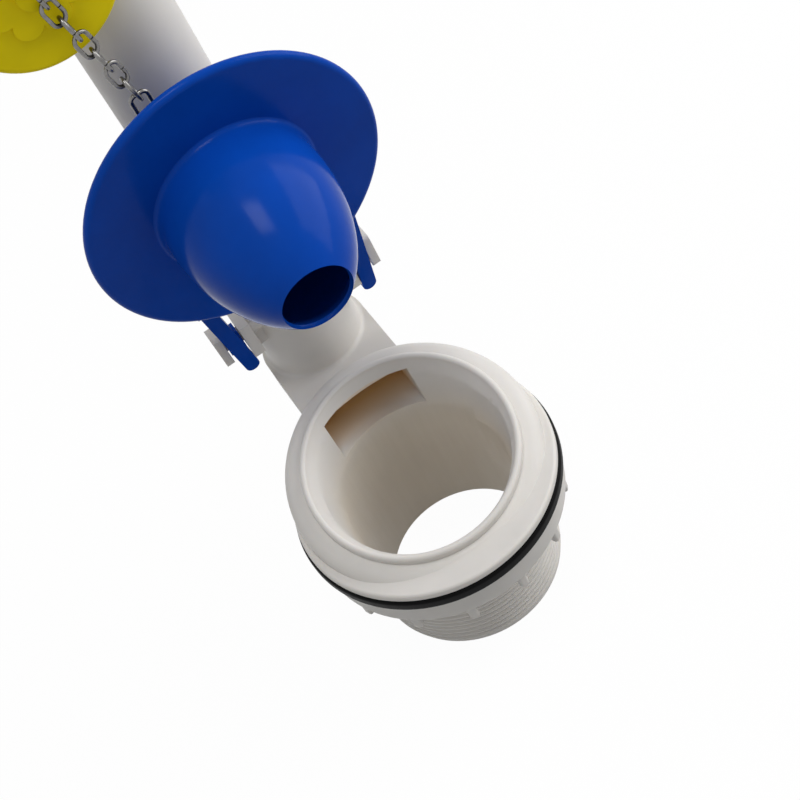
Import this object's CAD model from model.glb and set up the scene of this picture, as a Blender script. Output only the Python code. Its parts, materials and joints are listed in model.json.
"""Looks of a toilet flush valve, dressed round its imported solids. All lengths are in metres."""

import json
import math

import bmesh
import bpy
import numpy as np
from bpy.props import FloatProperty, FloatVectorProperty, IntProperty, PointerProperty
from mathutils import Matrix, Vector


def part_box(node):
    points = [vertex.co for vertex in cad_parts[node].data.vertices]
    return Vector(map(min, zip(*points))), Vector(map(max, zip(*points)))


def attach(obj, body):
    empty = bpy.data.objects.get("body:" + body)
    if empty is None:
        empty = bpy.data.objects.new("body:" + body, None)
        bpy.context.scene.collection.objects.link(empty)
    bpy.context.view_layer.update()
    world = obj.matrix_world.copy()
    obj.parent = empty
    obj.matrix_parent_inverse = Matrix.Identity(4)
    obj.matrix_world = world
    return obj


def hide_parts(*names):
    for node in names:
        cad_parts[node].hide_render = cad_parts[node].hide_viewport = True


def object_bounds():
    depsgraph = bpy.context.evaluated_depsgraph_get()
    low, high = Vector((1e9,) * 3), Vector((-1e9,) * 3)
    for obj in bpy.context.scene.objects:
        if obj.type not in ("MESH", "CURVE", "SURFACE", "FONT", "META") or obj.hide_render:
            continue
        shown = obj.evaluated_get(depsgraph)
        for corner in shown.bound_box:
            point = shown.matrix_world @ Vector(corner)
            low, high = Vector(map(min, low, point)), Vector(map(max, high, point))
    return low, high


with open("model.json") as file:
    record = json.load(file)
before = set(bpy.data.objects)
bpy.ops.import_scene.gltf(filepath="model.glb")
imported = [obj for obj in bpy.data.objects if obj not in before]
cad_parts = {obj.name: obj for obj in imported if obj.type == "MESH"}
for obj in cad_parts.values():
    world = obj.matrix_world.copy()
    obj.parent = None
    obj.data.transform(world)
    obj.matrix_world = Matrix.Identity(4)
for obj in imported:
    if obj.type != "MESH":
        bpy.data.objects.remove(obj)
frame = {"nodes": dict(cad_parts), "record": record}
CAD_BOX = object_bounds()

bl_info = {
    "name": "Toilet flush valve",
    "version": (1, 1, 0),
    "blender": (4, 5, 0),
    "location": "3D View > Sidebar > Flush valve",
    "description": "Dresses the solids of a flush valve with moulded, rubber and wire finishes",
    "category": "Object",
}

MM = 0.001
WELD = 0.002 * MM
LOOK = "_look"
NODES = frame["nodes"]
RECORD = frame["record"]
BODY_OF = {node: body for body, nodes in RECORD["behaviour"]["bodies"].items() for node in nodes}
SLOT_OF = {row["node"]: row["material_slot"] for row in RECORD["subparts"]}
MOUNTS = {mount["name"]: mount for mount in RECORD["mounts"]}
LINKS = sorted(node for node in NODES if node.startswith("chain_link_"))

# Zones of the white plastic's tones, from the place where a fade starts to the place where it ends
BORE_SKIN = (0.3 * MM, 2.5 * MM)
BOWL_HEIGHT = (44 * MM, 62 * MM)
WAY_FLOOR = (49.8 * MM, 50.2 * MM)
WAY_START = (24 * MM, 37 * MM)
WAY_END = (68 * MM, 70 * MM)
WAY_SIDE = (16.2 * MM, 16.7 * MM)
# The warm tone's ceiling steps down behind the window, at these distances from the shank's axis
WAY_CEILING = (63.7 * MM, 56.6 * MM)
WINDOW_BACK = (34.0 * MM, 34.3 * MM)


class FlushFinishes(bpy.types.PropertyGroup):
    """Colours of the valve's materials."""

    white: FloatVectorProperty(
        name="White plastic", description="Colour of the seat, arm and tube", subtype="COLOR", size=3,
        min=0, max=1, default=(0.745, 0.718, 0.680))
    warm: FloatVectorProperty(
        name="Warm shade", description="Colour of the white plastic where light seeps through it",
        subtype="COLOR", size=3, min=0, max=1, default=(0.78, 0.50, 0.23))
    bore: FloatVectorProperty(
        name="Bore", description="Colour of the white plastic deep in the outlet", subtype="COLOR",
        size=3, min=0, max=1, default=(0.86, 0.75, 0.58))
    nut: FloatVectorProperty(
        name="Nut plastic", description="Colour of the lock nut", subtype="COLOR", size=3,
        min=0, max=1, default=(0.65, 0.63, 0.60))
    blue: FloatVectorProperty(
        name="Blue rubber", description="Colour of the flapper", subtype="COLOR", size=3,
        min=0, max=1, default=(0.002, 0.055, 0.385))
    black: FloatVectorProperty(
        name="Black rubber", description="Colour of the tank gasket", subtype="COLOR", size=3,
        min=0, max=1, default=(0.0025, 0.0025, 0.0027))
    yellow: FloatVectorProperty(
        name="Yellow float", description="Colour of the chain's float", subtype="COLOR", size=3,
        min=0, max=1, default=(0.93, 0.75, 0.002))
    steel: FloatVectorProperty(
        name="Steel wire", description="Colour of the chain, clip and hook", subtype="COLOR", size=3,
        min=0, max=1, default=(0.20, 0.195, 0.19))


class FlushThread(bpy.types.PropertyGroup):
    """Thread on the outlet shank."""

    pitch: FloatProperty(
        name="Pitch", description="Distance from one turn to the next", subtype="DISTANCE",
        unit="LENGTH", min=0.001, max=0.004, default=2.2 * MM)
    depth: FloatProperty(
        name="Depth", description="Height of the thread's ridge", subtype="DISTANCE",
        unit="LENGTH", min=0.0002, max=0.002, default=0.75 * MM)
    crest: FloatProperty(
        name="Crest", description="Width of the ridge's flat top", subtype="DISTANCE",
        unit="LENGTH", min=0.0001, max=0.001, default=0.5 * MM)
    start: FloatProperty(
        name="Start", description="Height of the first turn above the shank's foot", subtype="DISTANCE",
        unit="LENGTH", min=0, max=0.005, default=0.6 * MM)
    sides: IntProperty(
        name="Sides", description="Steps round one turn", min=24, max=256, default=128)


class FlushNut(bpy.types.PropertyGroup):
    """Grip lugs of the lock nut."""

    lugs: IntProperty(
        name="Lugs", description="Number of lugs round the nut", min=4, max=24, default=14)
    turn: FloatProperty(
        name="Turn", description="Angle of the first lug", subtype="ANGLE", unit="ROTATION",
        default=math.radians(21.5))
    drop: FloatProperty(
        name="Drop", description="Length of a solid lug below the nut's wall", subtype="DISTANCE",
        unit="LENGTH", min=0.003, max=0.008, default=6.8 * MM)
    reach: FloatProperty(
        name="Reach", description="Distance of the lugs' middle from the nut's axis", subtype="DISTANCE",
        unit="LENGTH", min=0.03, max=0.045, default=37.7 * MM)
    shown: FloatVectorProperty(
        name="Shown lug", description="Depth, width and drop of a lug as it is shown", subtype="XYZ",
        unit="LENGTH", size=3, default=(2.3 * MM, 2.9 * MM, 5.4 * MM))
    sunk: FloatProperty(
        name="Sunk", description="Height of a lug inside the nut's wall", subtype="DISTANCE",
        unit="LENGTH", min=0, max=0.004, default=1.6 * MM)
    rounding: FloatProperty(
        name="Rounding", description="Rounding of a lug's edges", subtype="DISTANCE", unit="LENGTH",
        min=0.0001, max=0.0012, default=0.8 * MM)


class FlushFlapper(bpy.types.PropertyGroup):
    """Foot and tip of the flapper's bulb."""

    neck: FloatProperty(
        name="Neck", description="Radius of the bulb above its fillet", subtype="DISTANCE",
        unit="LENGTH", min=0.015, max=0.03, default=22.9 * MM)
    fillet: FloatProperty(
        name="Fillet", description="Height of the fillet on the disc", subtype="DISTANCE",
        unit="LENGTH", min=0.001, max=0.005, default=3.0 * MM)
    tightness: FloatProperty(
        name="Tightness", description="Share of the fillet's width which is shown", min=0.1, max=1,
        default=0.45)
    taper: FloatProperty(
        name="Taper", description="Height of the tip which is drawn in", subtype="DISTANCE",
        unit="LENGTH", min=0.002, max=0.02, default=12 * MM)
    outer_draw: FloatProperty(
        name="Outer draw", description="Distance by which the tip's outside is drawn in",
        subtype="DISTANCE", unit="LENGTH", min=0, max=0.002, default=0.7 * MM)
    inner_draw: FloatProperty(
        name="Inner draw", description="Distance by which the tip's hole is drawn in",
        subtype="DISTANCE", unit="LENGTH", min=0, max=0.002, default=0.25 * MM)


class FlushChain(bpy.types.PropertyGroup):
    """Bent wire of the chain and its clip."""

    gap: FloatProperty(
        name="Gap", description="Opening where a link's ends meet", subtype="DISTANCE",
        unit="LENGTH", min=0.0, max=0.001, default=0.3 * MM)
    bend: FloatProperty(
        name="Bend", description="Radius of the clip's corners", subtype="DISTANCE",
        unit="LENGTH", min=0.001, max=0.003, default=1.4 * MM)
    sides: IntProperty(
        name="Sides", description="Steps round the wire", min=8, max=32, default=16)


class FlushStage(bpy.types.PropertyGroup):
    """Camera, lamps and floor."""

    camera_place: FloatVectorProperty(
        name="Camera", description="Place of the camera", subtype="TRANSLATION", unit="LENGTH", size=3,
        default=(-0.02711, -0.26249, 0.39025))
    camera_target: FloatVectorProperty(
        name="Target", description="Point in the middle of the picture", subtype="TRANSLATION",
        unit="LENGTH", size=3, default=(0.00792, 0.02, 0.05942))
    camera_roll: FloatProperty(
        name="Roll", description="Turn of the camera about its line of sight", subtype="ANGLE",
        unit="ROTATION", default=math.radians(-29.844))
    camera_lens: FloatProperty(
        name="Lens", description="Focal length on a 36 mm wide picture, in millimetres", min=20, max=200,
        default=66.13)
    world_level: FloatProperty(
        name="World", description="Level of the light from all round", min=0, max=2, default=0.36)
    lamp_target: FloatVectorProperty(
        name="Lamp target", description="Point that the lamps face", subtype="TRANSLATION",
        unit="LENGTH", size=3, default=(0, 0.02, 0.10))
    key_place: FloatVectorProperty(
        name="Key place", description="Place of the lamp overhead", subtype="TRANSLATION",
        unit="LENGTH", size=3, default=(-0.02, -0.11, 1.0))
    key_width: FloatProperty(
        name="Key width", description="Side of the lamp overhead", subtype="DISTANCE", unit="LENGTH",
        min=0.05, max=3, default=0.3)
    key_power: FloatProperty(
        name="Key lamp", description="Power of the lamp overhead", subtype="POWER", unit="POWER",
        min=0, max=100, default=2.7)
    side_place: FloatVectorProperty(
        name="Side place", description="Place of the wide lamp on the right", subtype="TRANSLATION",
        unit="LENGTH", size=3, default=(0.90, 0.02, 0.52))
    side_width: FloatProperty(
        name="Side width", description="Side of the wide lamp on the right", subtype="DISTANCE",
        unit="LENGTH", min=0.05, max=3, default=0.8)
    side_power: FloatProperty(
        name="Side lamp", description="Power of the wide lamp on the right", subtype="POWER",
        unit="POWER", min=0, max=100, default=6.4)
    floor_width: FloatProperty(
        name="Floor width", description="Side of the floor", subtype="DISTANCE", unit="LENGTH",
        min=1, max=50, default=12.0)
    floor_drop: FloatProperty(
        name="Floor drop", description="Gap between the shank's foot and the floor", subtype="DISTANCE",
        unit="LENGTH", min=0, max=0.01, default=0.2 * MM)
    floor_grey: FloatProperty(
        name="Floor grey", description="Grey of the floor under the lamps", min=0, max=1, default=0.5)
    floor_glow: FloatProperty(
        name="Floor glow", description="Level of the white that the camera sees on the floor", min=0,
        max=2, default=1.03)
    floor_share: FloatProperty(
        name="Floor share", description="Share of that white, the rest being the shaded floor", min=0,
        max=1, default=0.94)


def new_material(name):
    """A material with its node tree and its principled shader."""
    made = bpy.data.materials.new(name + LOOK)
    made.use_nodes = True
    tree = made.node_tree
    return made, tree, tree.nodes["Principled BSDF"]


def object_points(tree):
    """Points in the piece's own space."""
    return tree.nodes.new("ShaderNodeTexCoord").outputs["Object"]


def scaled(tree, points, scale):
    """Points stretched along the axes, for grain that runs one way."""
    node = tree.nodes.new("ShaderNodeMapping")
    node.inputs["Scale"].default_value = scale
    tree.links.new(points, node.inputs["Vector"])
    return node.outputs["Vector"]


def noise(tree, points, scale, detail, roughness):
    """Fractal noise at the points."""
    node = tree.nodes.new("ShaderNodeTexNoise")
    node.inputs["Scale"].default_value = scale
    node.inputs["Detail"].default_value = detail
    node.inputs["Roughness"].default_value = roughness
    tree.links.new(points, node.inputs["Vector"])
    return node.outputs["Fac"]


def spread(tree, value, low, high, clamp_from=(0.3, 0.7)):
    """Maps a range of a value, by default the usual one of a noise, to a range of plain numbers."""
    node = tree.nodes.new("ShaderNodeMapRange")
    node.inputs["From Min"].default_value = clamp_from[0]
    node.inputs["From Max"].default_value = clamp_from[1]
    node.inputs["To Min"].default_value = low
    node.inputs["To Max"].default_value = high
    tree.links.new(value, node.inputs["Value"])
    return node.outputs["Result"]


def product(tree, first, second):
    """An output times another output or a plain number."""
    node = tree.nodes.new("ShaderNodeMath")
    node.operation = "MULTIPLY"
    tree.links.new(first, node.inputs[0])
    if isinstance(second, float):
        node.inputs[1].default_value = second
    else:
        tree.links.new(second, node.inputs[1])
    return node.outputs[0]


def tint(tree, value, first, second):
    """Mixes two colours, given as plain colours or as outputs, by a value."""
    node = tree.nodes.new("ShaderNodeMix")
    node.data_type = "RGBA"
    for key, colour in (("A", first), ("B", second)):
        if isinstance(colour, tuple):
            node.inputs[key].default_value = (*colour, 1)
        else:
            tree.links.new(colour, node.inputs[key])
    tree.links.new(value, node.inputs["Factor"])
    return node.outputs["Result"]


def relief(tree, shader, heights, edge=0.0):
    """Chains bumps of (height, distance), over edges rounded by the given radius."""
    last = None
    if edge:
        rounded = tree.nodes.new("ShaderNodeBevel")
        rounded.inputs["Radius"].default_value = edge
        rounded.samples = 6
        last = rounded.outputs["Normal"]
    for height, distance in heights:
        bump = tree.nodes.new("ShaderNodeBump")
        bump.inputs["Strength"].default_value = 1.0
        bump.inputs["Distance"].default_value = distance
        tree.links.new(height, bump.inputs["Height"])
        if last is not None:
            tree.links.new(last, bump.inputs["Normal"])
        last = bump.outputs["Normal"]
    tree.links.new(last, shader.inputs["Normal"])


def shade(colour, factor):
    """A colour made darker or lighter."""
    return tuple(channel * factor for channel in colour)


def placed(tree, points):
    """Coordinates of the points, their distance from the shank's axis and from its middle plane."""
    parts = tree.nodes.new("ShaderNodeSeparateXYZ")
    tree.links.new(points, parts.inputs["Vector"])
    flat = tree.nodes.new("ShaderNodeCombineXYZ")
    tree.links.new(parts.outputs["X"], flat.inputs["X"])
    tree.links.new(parts.outputs["Y"], flat.inputs["Y"])
    length = tree.nodes.new("ShaderNodeVectorMath")
    length.operation = "LENGTH"
    tree.links.new(flat.outputs["Vector"], length.inputs[0])
    side = tree.nodes.new("ShaderNodeMath")
    side.operation = "ABSOLUTE"
    tree.links.new(parts.outputs["X"], side.inputs[0])
    return parts.outputs["Y"], parts.outputs["Z"], length.outputs["Value"], side.outputs[0]


def inside_bore(tree, points):
    """One inside the outlet's round bore and the bowl above it, fading out at the seat."""
    _, height, distance, _ = placed(tree, points)
    bore = MOUNTS["outlet"]["dims"]["r_mm"] * MM
    near = spread(tree, distance, 1, 0, (bore + BORE_SKIN[0], bore + BORE_SKIN[1]))
    low = spread(tree, height, 1, 0, BOWL_HEIGHT)
    return product(tree, near, low)


def inside_arm(tree, points):
    """One in the window and the arm's water way, where the thin wall lets warm light through."""
    depth, height, distance, side = placed(tree, points)
    ceiling = spread(tree, distance, *WAY_CEILING, WINDOW_BACK)
    under = tree.nodes.new("ShaderNodeMath")
    under.operation = "LESS_THAN"
    tree.links.new(height, under.inputs[0])
    tree.links.new(ceiling, under.inputs[1])
    above = spread(tree, height, 0, 1, WAY_FLOOR)
    behind = spread(tree, depth, 0, 1, WAY_START)
    before = spread(tree, depth, 1, 0, WAY_END)
    between = spread(tree, side, 1, 0, WAY_SIDE)
    level = product(tree, under.outputs[0], above)
    return product(tree, product(tree, behind, before), product(tree, level, between))


def moulded_plastic(name, colour, roughness, deep=None, warm=None):
    """Satin moulded plastic: slow mottling, fine draw marks, a fine skin and slightly varied gloss."""
    _, tree, shader = new_material(name)
    points = object_points(tree)
    mottle = noise(tree, points, scale=55, detail=4, roughness=0.55)
    tone = tint(tree, spread(tree, mottle, 0, 1), shade(colour, 0.96), shade(colour, 1.03))
    drawn = scaled(tree, points, (1, 1, 0.06))
    streaks = noise(tree, drawn, scale=420, detail=3, roughness=0.6)
    if warm:
        deep_share = 0.45
        streak_share = 0.1
        bore = inside_bore(tree, points)
        marks = product(tree, bore, spread(tree, streaks, 0, streak_share))
        tone = tint(tree, product(tree, bore, deep_share), tone, deep)
        tone = tint(tree, marks, tone, shade(deep, 0.6))
        tone = tint(tree, inside_arm(tree, points), tone, warm)
    tree.links.new(tone, shader.inputs["Base Color"])
    gloss = noise(tree, points, scale=240, detail=3, roughness=0.6)
    tree.links.new(spread(tree, gloss, roughness * 0.85, roughness * 1.15), shader.inputs["Roughness"])
    skin = noise(tree, points, scale=1600, detail=2, roughness=0.5)
    wave = noise(tree, points, scale=130, detail=2, roughness=0.5)
    heights = [(wave, 0.03 * MM), (streaks, 0.002 * MM), (skin, 0.004 * MM)]
    relief(tree, shader, heights, edge=0.3 * MM)
    shader.inputs["Specular IOR Level"].default_value = 0.25
    shader.inputs["Subsurface Weight"].default_value = 0.1
    shader.inputs["Subsurface Radius"].default_value = (1.0, 0.7, 0.4)
    shader.inputs["Subsurface Scale"].default_value = 2.0 * MM


def flapper_rubber(name, colour):
    """Glossy moulded rubber with a clouded skin."""
    _, tree, shader = new_material(name)
    points = object_points(tree)
    cloud = noise(tree, points, scale=38, detail=4, roughness=0.6)
    tone = tint(tree, spread(tree, cloud, 0, 1), shade(colour, 0.9), shade(colour, 1.1))
    tree.links.new(tone, shader.inputs["Base Color"])
    gloss = noise(tree, points, scale=120, detail=4, roughness=0.6)
    tree.links.new(spread(tree, gloss, 0.14, 0.21), shader.inputs["Roughness"])
    wave = noise(tree, points, scale=40, detail=2, roughness=0.5)
    skin = noise(tree, points, scale=1400, detail=2, roughness=0.5)
    relief(tree, shader, [(wave, 0.1 * MM), (skin, 0.002 * MM)])
    shader.inputs["Specular IOR Level"].default_value = 0.05


def gasket_rubber(name, colour):
    """Black rubber with a dusty grain and a dull shine."""
    _, tree, shader = new_material(name)
    points = object_points(tree)
    dust = noise(tree, points, scale=420, detail=5, roughness=0.65)
    tone = tint(tree, spread(tree, dust, 0, 1), shade(colour, 0.8), shade(colour, 1.9))
    tree.links.new(tone, shader.inputs["Base Color"])
    tree.links.new(spread(tree, dust, 0.36, 0.5), shader.inputs["Roughness"])
    relief(tree, shader, [(dust, 0.01 * MM)])
    shader.inputs["Specular IOR Level"].default_value = 0.05


def float_plastic(name, colour):
    """Soft yellow foam plastic with a fine open skin."""
    _, tree, shader = new_material(name)
    points = object_points(tree)
    cloud = noise(tree, points, scale=70, detail=3, roughness=0.5)
    grain = noise(tree, points, scale=1500, detail=3, roughness=0.6)
    tone = tint(tree, spread(tree, cloud, 0, 1), shade(colour, 0.92), shade(colour, 1.06))
    tree.links.new(tone, shader.inputs["Base Color"])
    tree.links.new(spread(tree, grain, 0.45, 0.6), shader.inputs["Roughness"])
    relief(tree, shader, [(grain, 0.02 * MM)], edge=0.3 * MM)
    shader.inputs["Specular IOR Level"].default_value = 0.12


def drawn_wire(name, colour):
    """Drawn steel wire with dull and bright specks."""
    _, tree, shader = new_material(name)
    points = object_points(tree)
    speck = noise(tree, points, scale=700, detail=4, roughness=0.65)
    tone = tint(tree, spread(tree, speck, 0, 1), shade(colour, 0.75), shade(colour, 1.2))
    tree.links.new(tone, shader.inputs["Base Color"])
    tree.links.new(spread(tree, speck, 0.2, 0.34), shader.inputs["Roughness"])
    shader.inputs["Metallic"].default_value = 1.0
    relief(tree, shader, [(speck, 0.003 * MM)])


def put(name, shape, body, slot):
    """Makes a smoothly shaded piece of a bmesh, without the normals of its source, and lets it ride."""
    data = bpy.data.meshes.new(name)
    shape.to_mesh(data)
    shape.free()
    stale = data.attributes.get("custom_normal")
    if stale:
        data.attributes.remove(stale)
    for face in data.polygons:
        face.use_smooth = True
    data.materials.append(bpy.data.materials[slot + LOOK])
    piece = bpy.data.objects.new(name, data)
    bpy.context.scene.collection.objects.link(piece)
    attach(piece, body)
    return piece


def refined(node, change=None, crease=math.radians(32)):
    """Stands a welded copy with smooth shading in for a CAD node. Change may reshape the copy."""
    shape = bmesh.new()
    shape.from_mesh(NODES[node].data)
    bmesh.ops.remove_doubles(shape, verts=shape.verts, dist=WELD)
    if change:
        change(shape)
    piece = put(node + "_skin", shape, BODY_OF[node], SLOT_OF[node])
    piece.data.set_sharp_from_angle(angle=crease)
    even = piece.modifiers.new("even_shading", "WEIGHTED_NORMAL")
    even.keep_sharp = True
    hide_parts(node)


def own_axes(node):
    """Middle of a wire loop, its axes (across, through, along) and its extents on them."""
    points = np.array([vert.co for vert in NODES[node].data.vertices])
    _, axes = np.linalg.eigh(np.cov((points - points.mean(0)).T))
    across_through_along = (1, 0, 2)
    axes = axes[:, across_through_along]
    if np.linalg.det(axes) < 0:
        axes[:, 1] = -axes[:, 1]
    local = points @ axes
    low, high = local.min(0), local.max(0)
    return Vector(axes @ ((low + high) / 2)), Matrix(axes.tolist()), Vector(high - low)


def loop_points(half_w, half_l, corner, gap, steps=10):
    """Line of a rounded oblong, from one side of a gap in its side round to the other."""
    points = [(half_w, gap / 2)]
    for side, end, start in ((1, 1, 0), (-1, 1, 90), (-1, -1, 180), (1, -1, 270)):
        for step in range(steps + 1):
            angle = math.radians(start + 90 * step / steps)
            points.append((side * (half_w - corner) + corner * math.cos(angle),
                           end * (half_l - corner) + corner * math.sin(angle)))
    points.append((half_w, -gap / 2))
    return points


def wire_loop(node, corner, gap, sides):
    """Stands a bent open wire in for a closed loop of the CAD. Its corners are no wider than its ends."""
    middle, axes, extent = own_axes(node)
    radius = extent[1] / 2
    half_w = extent[0] / 2 - radius
    half_l = extent[2] / 2 - radius
    line = [Vector((x, 0, z)) for x, z in loop_points(half_w, half_l, min(corner, half_w), gap)]
    shape = bmesh.new()
    rings = []
    for index, point in enumerate(line):
        ahead = line[min(index + 1, len(line) - 1)] - line[max(index - 1, 0)]
        out = Vector((ahead.z, 0, -ahead.x)).normalized()
        ring = []
        for side in range(sides):
            angle = 2 * math.pi * side / sides
            place = point + radius * (math.cos(angle) * out + math.sin(angle) * Vector((0, 1, 0)))
            ring.append(shape.verts.new(middle + axes @ place))
        rings.append(ring)
    for first, second in zip(rings, rings[1:]):
        for side in range(sides):
            other = (side + 1) % sides
            shape.faces.new((first[side], first[other], second[other], second[side]))
    shape.faces.new(rings[0])
    shape.faces.new(rings[-1])
    bmesh.ops.recalc_face_normals(shape, faces=shape.faces)
    piece = put(node + "_wire", shape, BODY_OF[node], SLOT_OF[node])
    piece.data.set_sharp_from_angle(angle=math.radians(60))
    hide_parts(node)


class FLUSH_OT_materials(bpy.types.Operator):
    """Makes the valve's materials"""

    bl_idname = "flush.materials"
    bl_label = "Materials"

    def execute(self, context):
        tones = context.scene.flush_finishes
        moulded_plastic("white_plastic", tuple(tones.white), roughness=0.44, deep=tuple(tones.bore),
                        warm=tuple(tones.warm))
        moulded_plastic("nut_plastic", tuple(tones.nut), roughness=0.5)
        flapper_rubber("blue_rubber", tuple(tones.blue))
        gasket_rubber("black_rubber", tuple(tones.black))
        float_plastic("yellow_foam", tuple(tones.yellow))
        drawn_wire("steel_wire", tuple(tones.steel))
        return {"FINISHED"}


class FLUSH_OT_body(bpy.types.Operator):
    """Softens the seat body, arm, tube and gasket, with the shank turned down to its thread's root"""

    bl_idname = "flush.body"
    bl_label = "Body"

    def execute(self, context):
        thread = context.scene.flush_thread
        crest = MOUNTS["shank"]["dims"]["r_mm"] * MM
        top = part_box("lock_nut")[1].z
        share = 1 - thread.depth / crest

        def turn_down(shape):
            """Draws the shank's crest in to the thread's root."""
            for vert in shape.verts:
                if vert.co.z < top and vert.co.xy.length > crest - WELD:
                    vert.co.x *= share
                    vert.co.y *= share
            bmesh.ops.dissolve_degenerate(shape, edges=shape.edges, dist=WELD)

        refined("valve_body", turn_down)
        for node in ("overflow_elbow", "overflow_tube", "tank_gasket"):
            refined(node)
        return {"FINISHED"}


class FLUSH_OT_nut(bpy.types.Operator):
    """Softens the lock nut and gives it short rounded lugs"""

    bl_idname = "flush.nut"
    bl_label = "Lock nut"

    def execute(self, context):
        nut = context.scene.flush_nut
        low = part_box("lock_nut")[0].z
        foot = low + nut.drop
        depth, width, drop = nut.shown
        size = Vector((depth, width, drop + nut.sunk))
        height = foot + (nut.sunk - drop) / 2

        def round_lugs(shape):
            """Cuts the solid lugs off and sets rounded ones in their place."""
            ends = [vert for vert in shape.verts if vert.co.z < low + WELD]
            bmesh.ops.delete(shape, geom=ends, context="VERTS")
            bmesh.ops.holes_fill(shape, edges=[edge for edge in shape.edges if edge.is_boundary])
            for lug in range(nut.lugs):
                angle = Matrix.Rotation(nut.turn + 2 * math.pi * lug / nut.lugs, 4, "Z")
                place = angle @ Matrix.Translation((nut.reach, 0, height))
                corners = bmesh.ops.create_cube(
                    shape, size=1, matrix=place @ Matrix.Diagonal(size.to_4d()))["verts"]
                rims = list({edge for corner in corners for edge in corner.link_edges})
                bmesh.ops.bevel(
                    shape, geom=rims, offset=nut.rounding, segments=3, profile=0.5, affect="EDGES")

        refined("lock_nut", round_lugs)
        return {"FINISHED"}


class FLUSH_OT_thread(bpy.types.Operator):
    """Winds the thread on the outlet shank"""

    bl_idname = "flush.thread"
    bl_label = "Shank thread"

    def execute(self, context):
        thread = context.scene.flush_thread
        mount = MOUNTS["shank"]["dims"]
        crest = mount["r_mm"] * MM
        sunk = 0.02 * MM
        flank_angle = math.radians(30)
        # The ridge grows to its full height in a third of a turn
        growth_per_turn = 3
        flank = thread.depth * math.tan(flank_angle)
        turns = int(mount["length_mm"] * MM / thread.pitch)
        edges = (0, flank, flank + thread.crest, 2 * flank + thread.crest)
        drops = (thread.depth + sunk, 0, 0, thread.depth + sunk)
        shape = bmesh.new()
        rings = []
        for step in range(turns * thread.sides + 1):
            turn = step / thread.sides
            angle = 2 * math.pi * turn
            full = min(1.0, turn * growth_per_turn, (turns - turn) * growth_per_turn)
            ring = []
            for along, drop in zip(edges, drops):
                reach = crest - thread.depth - sunk + (thread.depth + sunk - drop) * full
                height = thread.start + turn * thread.pitch + along
                ring.append(shape.verts.new((reach * math.cos(angle), reach * math.sin(angle), height)))
            rings.append(ring)
        for first, second in zip(rings, rings[1:]):
            for corners in zip(second, second[1:] + second[:1], first[1:] + first[:1], first):
                shape.faces.new(corners)
        piece = put("shank_thread", shape, BODY_OF["valve_body"], SLOT_OF["valve_body"])
        piece.data.set_sharp_from_angle(angle=math.radians(40))
        return {"FINISHED"}


class FLUSH_OT_flapper(bpy.types.Operator):
    """Softens the flapper's disc, straps and bulb"""

    bl_idname = "flush.flapper"
    bl_label = "Flapper"

    def execute(self, context):
        flapper = context.scene.flush_flapper
        facing_in = -0.3
        faces = NODES["flapper_disc"].data.polygons
        across = max(faces, key=lambda face: face.area).normal.copy()
        if across.dot(sum(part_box("flapper_disc"), Vector()) - sum(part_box("flapper_bulb"), Vector())) < 0:
            across.negate()

        def tighten(shape):
            """Draws the fillet at the bulb's foot and the lip at its tip in."""
            shape.normal_update()
            top = max(vert.co.dot(across) for vert in shape.verts)
            tip = min(vert.co.dot(across) for vert in shape.verts)
            ring = [vert.co for vert in shape.verts if vert.co.dot(across) > top - WELD]
            middle = sum(ring, Vector()) / len(ring)
            for vert in shape.verts:
                below = (vert.co - middle).dot(across)
                spoke = vert.co - middle - below * across
                outward = spoke.normalized()
                excess = spoke.length - flapper.neck
                if excess > 0 and below > -flapper.fillet:
                    vert.co -= outward * excess * (1 - flapper.tightness)
                rise = (vert.co.dot(across) - tip) / flapper.taper
                if rise < 1:
                    inside = vert.normal.dot(outward) < facing_in
                    draw = flapper.inner_draw if inside else flapper.outer_draw
                    vert.co -= outward * draw * (1 - rise) ** 2

        refined("flapper_disc")
        refined("flapper_bulb", tighten, crease=math.radians(40))
        return {"FINISHED"}


class FLUSH_OT_chain(bpy.types.Operator):
    """Bends the chain's open links and its clip, and softens the float and the hook"""

    bl_idname = "flush.chain"
    bl_label = "Chain"

    def execute(self, context):
        chain = context.scene.flush_chain
        fully_round = math.inf
        for node in LINKS:
            wire_loop(node, fully_round, chain.gap, chain.sides)
        wire_loop("chain_clip", chain.bend, chain.gap, chain.sides)
        refined("chain_float")
        refined("lever_hook", crease=math.radians(60))
        return {"FINISHED"}


def aim(place, target, roll):
    """World matrix of a thing at place that looks at target, rolled about its line of sight."""
    forward = (Vector(target) - Vector(place)).normalized()
    level = forward.cross(Vector((0, 0, 1))).normalized()
    upright = level.cross(forward)
    right = level * math.cos(roll) + upright * math.sin(roll)
    up = right.cross(forward)
    turn = Matrix((right, up, -forward)).transposed()
    return Matrix.Translation(Vector(place)) @ turn.to_4x4()


def lamp(name, place, target, width, power):
    """A square lamp that faces the target."""
    data = bpy.data.lights.new(name, "AREA")
    data.shape = "SQUARE"
    data.size = width
    data.energy = power
    made = bpy.data.objects.new(name, data)
    bpy.context.scene.collection.objects.link(made)
    made.matrix_world = aim(place, target, roll=0)


def seen_directly(tree, share):
    """A share for rays that come from the camera, a mirror or a clear piece, and nothing for others."""
    rays = tree.nodes.new("ShaderNodeLightPath")
    either = tree.nodes.new("ShaderNodeMath")
    either.operation = "MAXIMUM"
    tree.links.new(rays.outputs["Is Camera Ray"], either.inputs[0])
    tree.links.new(rays.outputs["Is Glossy Ray"], either.inputs[1])
    both = tree.nodes.new("ShaderNodeMath")
    both.operation = "MAXIMUM"
    tree.links.new(either.outputs[0], both.inputs[0])
    tree.links.new(rays.outputs["Is Transmission Ray"], both.inputs[1])
    return product(tree, both.outputs[0], share)


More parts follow.
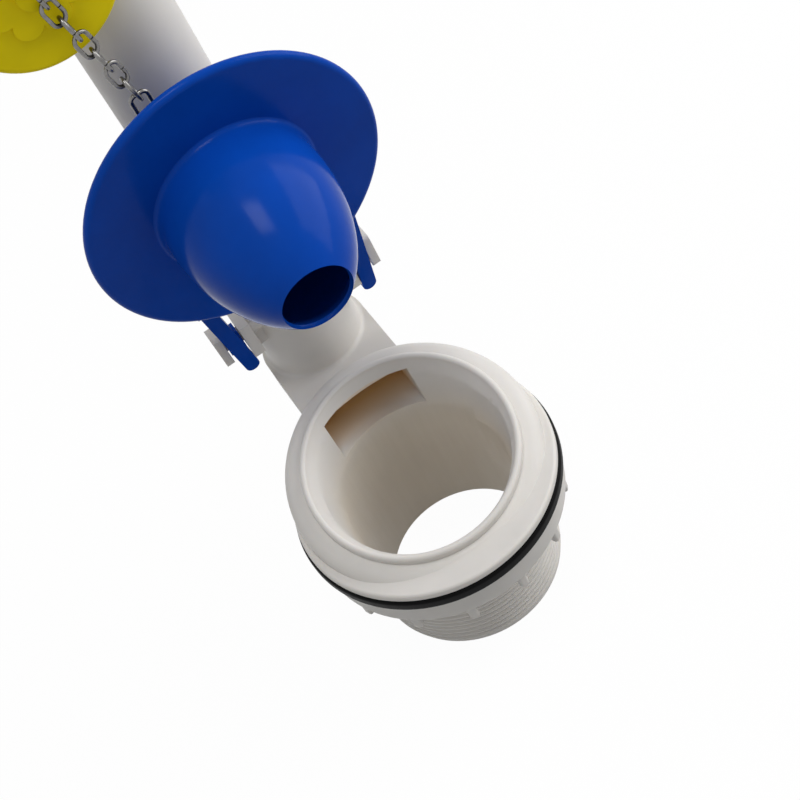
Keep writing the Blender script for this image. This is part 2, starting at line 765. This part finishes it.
class FLUSH_OT_stage(bpy.types.Operator):
    """Sets up the floor, lamps, world and camera"""

    bl_idname = "flush.stage"
    bl_label = "Stage"

    def execute(self, context):
        stage = context.scene.flush_stage
        context.scene.view_settings.view_transform = "Standard"
        self.make_floor(stage)
        self.make_world(stage)
        lamp("key_lamp", stage.key_place, stage.lamp_target, stage.key_width, stage.key_power)
        lamp("side_lamp", stage.side_place, stage.lamp_target, stage.side_width, stage.side_power)
        data = bpy.data.cameras.new("photo_camera")
        data.lens = stage.camera_lens
        data.sensor_width = 36
        data.clip_start = 0.01
        camera = bpy.data.objects.new("photo_camera", data)
        context.scene.collection.objects.link(camera)
        camera.matrix_world = aim(stage.camera_place, stage.camera_target, stage.camera_roll)
        context.scene.camera = camera
        return {"FINISHED"}

    def make_floor(self, stage):
        """A flat floor that the camera sees as white, with the object's shadow on it."""
        half = stage.floor_width / 2
        grey = stage.floor_grey
        made, tree, shader = new_material("floor")
        shader.inputs["Base Color"].default_value = (grey, grey, grey, 1)
        shader.inputs["Roughness"].default_value = 0.9
        glow = tree.nodes.new("ShaderNodeEmission")
        glow.inputs["Strength"].default_value = stage.floor_glow
        mix = tree.nodes.new("ShaderNodeMixShader")
        tree.links.new(seen_directly(tree, stage.floor_share), mix.inputs["Fac"])
        tree.links.new(shader.outputs["BSDF"], mix.inputs[1])
        tree.links.new(glow.outputs["Emission"], mix.inputs[2])
        tree.links.new(mix.outputs["Shader"], tree.nodes["Material Output"].inputs["Surface"])
        data = bpy.data.meshes.new("floor")
        corners = [(-half, -half, 0), (half, -half, 0), (half, half, 0), (-half, half, 0)]
        data.from_pydata(corners, [], [(0, 1, 2, 3)])
        data.materials.append(made)
        floor = bpy.data.objects.new("floor", data)
        floor.location.z = CAD_BOX[0][2] - stage.floor_drop
        bpy.context.scene.collection.objects.link(floor)

    def make_world(self, stage):
        """An even light all round, which the camera sees as white."""
        world = bpy.data.worlds.new("studio")
        world.use_nodes = True
        bpy.context.scene.world = world
        tree = world.node_tree
        light = tree.nodes["Background"]
        light.inputs["Color"].default_value = (1, 1, 1, 1)
        light.inputs["Strength"].default_value = stage.world_level
        white = tree.nodes.new("ShaderNodeBackground")
        white.inputs["Color"].default_value = (1, 1, 1, 1)
        mix = tree.nodes.new("ShaderNodeMixShader")
        tree.links.new(seen_directly(tree, 1.0), mix.inputs["Fac"])
        tree.links.new(light.outputs["Background"], mix.inputs[1])
        tree.links.new(white.outputs["Background"], mix.inputs[2])
        tree.links.new(mix.outputs["Shader"], tree.nodes["World Output"].inputs["Surface"])


class FLUSH_PT_panel(bpy.types.Panel):
    """Lists the valve's sizes and colours and the operators that make its pieces"""

    bl_label = "Flush valve"
    bl_idname = "FLUSH_PT_panel"
    bl_space_type = "VIEW_3D"
    bl_region_type = "UI"
    bl_category = "Flush valve"

    def draw(self, context):
        for name, kind in GROUPS.items():
            group = getattr(context.scene, name)
            box = self.layout.box()
            for key in kind.__annotations__:
                box.prop(group, key)
        for operator in OPERATORS:
            self.layout.operator(operator.bl_idname)


OPERATORS = (FLUSH_OT_stage, FLUSH_OT_materials, FLUSH_OT_body, FLUSH_OT_thread, FLUSH_OT_nut,
             FLUSH_OT_flapper, FLUSH_OT_chain)
GROUPS = {"flush_finishes": FlushFinishes, "flush_thread": FlushThread, "flush_nut": FlushNut,
          "flush_flapper": FlushFlapper, "flush_chain": FlushChain, "flush_stage": FlushStage}


def register():
    for group in GROUPS.values():
        bpy.utils.register_class(group)
    for operator in OPERATORS:
        bpy.utils.register_class(operator)
    bpy.utils.register_class(FLUSH_PT_panel)
    for name, group in GROUPS.items():
        setattr(bpy.types.Scene, name, PointerProperty(type=group))


def unregister():
    for name in GROUPS:
        delattr(bpy.types.Scene, name)
    bpy.utils.unregister_class(FLUSH_PT_panel)
    for operator in reversed(OPERATORS):
        bpy.utils.unregister_class(operator)
    for group in GROUPS.values():
        bpy.utils.unregister_class(group)


def main():
    register()
    bpy.ops.flush.stage()
    bpy.ops.flush.materials()
    bpy.ops.flush.body()
    bpy.ops.flush.thread()
    bpy.ops.flush.nut()
    bpy.ops.flush.flapper()
    bpy.ops.flush.chain()


if __name__ == "__main__":
    main()
